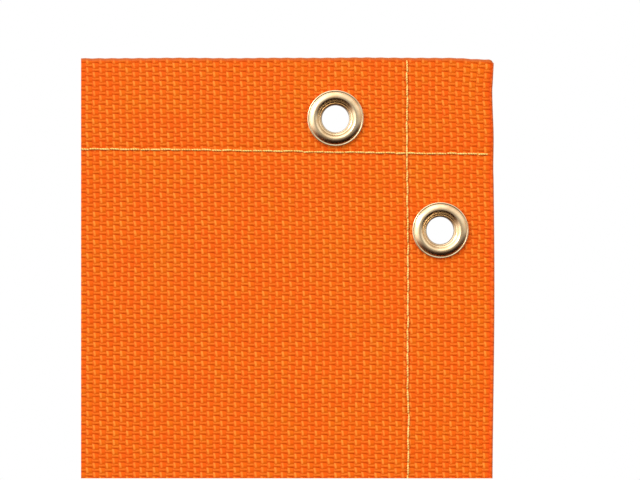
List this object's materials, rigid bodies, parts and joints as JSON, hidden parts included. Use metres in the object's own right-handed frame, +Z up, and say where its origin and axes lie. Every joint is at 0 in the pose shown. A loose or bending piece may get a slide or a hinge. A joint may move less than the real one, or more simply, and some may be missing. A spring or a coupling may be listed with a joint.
{
  "type": "welding curtain screen",
  "caption": "Hanging welding curtain: one sheet of orange coated woven glass cloth with folded, sewn hems and brass grommets on all four sides.",
  "frame": {"origin": "centre of the top row of grommets, in the middle of the single sheet's thickness: the line that the curtain hangs from", "axes": "+Z up along the curtain's height, +X along its width to the right as seen from the front, -Y towards the viewer of the smooth front face"},
  "size_m": [1.219, 0.0079, 1.829],
  "materials": {
    "coated_glass_cloth": "plain-woven glass yarn under an orange heat-resistant coating, satin",
    "brass": "rolled and set, bright with a fine scuff",
    "aramid_thread": "twisted yellow sewing thread, matt"
  },
  "bodies": {
    "hung_hem": {"cloth_band_1": "coated_glass_cloth", "grommet_top_1_eyelet": "brass", "grommet_top_1_washer": "brass", "grommet_top_2_eyelet": "brass", "grommet_top_2_washer": "brass", "grommet_top_3_eyelet": "brass", "grommet_top_3_washer": "brass", "seam_top_needle_thread": "aramid_thread", "seam_top_bobbin_thread": "aramid_thread", "seam_left_needle_thread_1": "aramid_thread", "seam_left_bobbin_thread_1": "aramid_thread", "seam_right_needle_thread_1": "aramid_thread", "seam_right_bobbin_thread_1": "aramid_thread"},
    "upper_band": {"cloth_band_2": "coated_glass_cloth", "grommet_left_1_eyelet": "brass", "grommet_left_1_washer": "brass", "grommet_right_1_eyelet": "brass", "grommet_right_1_washer": "brass", "seam_left_needle_thread_2": "aramid_thread", "seam_left_bobbin_thread_2": "aramid_thread", "seam_right_needle_thread_2": "aramid_thread", "seam_right_bobbin_thread_2": "aramid_thread"},
    "middle_band": {"cloth_band_3": "coated_glass_cloth", "grommet_left_2_eyelet": "brass", "grommet_left_2_washer": "brass", "grommet_right_2_eyelet": "brass", "grommet_right_2_washer": "brass", "seam_left_needle_thread_3": "aramid_thread", "seam_left_bobbin_thread_3": "aramid_thread", "seam_right_needle_thread_3": "aramid_thread", "seam_right_bobbin_thread_3": "aramid_thread"},
    "lower_band": {"cloth_band_4": "coated_glass_cloth", "grommet_left_3_eyelet": "brass", "grommet_left_3_washer": "brass", "grommet_right_3_eyelet": "brass", "grommet_right_3_washer": "brass", "seam_left_needle_thread_4": "aramid_thread", "seam_left_bobbin_thread_4": "aramid_thread", "seam_right_needle_thread_4": "aramid_thread", "seam_right_bobbin_thread_4": "aramid_thread"},
    "bottom_band": {"cloth_band_5": "coated_glass_cloth", "grommet_bottom_1_eyelet": "brass", "grommet_bottom_1_washer": "brass", "grommet_bottom_2_eyelet": "brass", "grommet_bottom_2_washer": "brass", "grommet_bottom_3_eyelet": "brass", "grommet_bottom_3_washer": "brass", "grommet_left_4_eyelet": "brass", "grommet_left_4_washer": "brass", "grommet_right_4_eyelet": "brass", "grommet_right_4_washer": "brass", "seam_bottom_needle_thread": "aramid_thread", "seam_bottom_bobbin_thread": "aramid_thread", "seam_left_needle_thread_5": "aramid_thread", "seam_left_bobbin_thread_5": "aramid_thread", "seam_right_needle_thread_5": "aramid_thread", "seam_right_bobbin_thread_5": "aramid_thread"}
  },
  "joints": [
    {"name": "swing_under_top_hem", "type": "hinge", "parent": "hung_hem", "child": "upper_band", "pos_m": [0, 0.0006, -0.021], "axis": [1, 0, 0], "range_deg": [-75, 75]},
    {"name": "upper_bend", "type": "hinge", "parent": "upper_band", "child": "middle_band", "pos_m": [0, 0.0006, -0.3248], "axis": [1, 0, 0], "range_deg": [-90, 90]},
    {"name": "middle_bend", "type": "hinge", "parent": "middle_band", "child": "lower_band", "pos_m": [0, 0.0006, -0.8922], "axis": [1, 0, 0], "range_deg": [-90, 90]},
    {"name": "lower_bend", "type": "hinge", "parent": "lower_band", "child": "bottom_band", "pos_m": [0, 0.0006, -1.4596], "axis": [1, 0, 0], "range_deg": [-90, 90]}
  ]
}
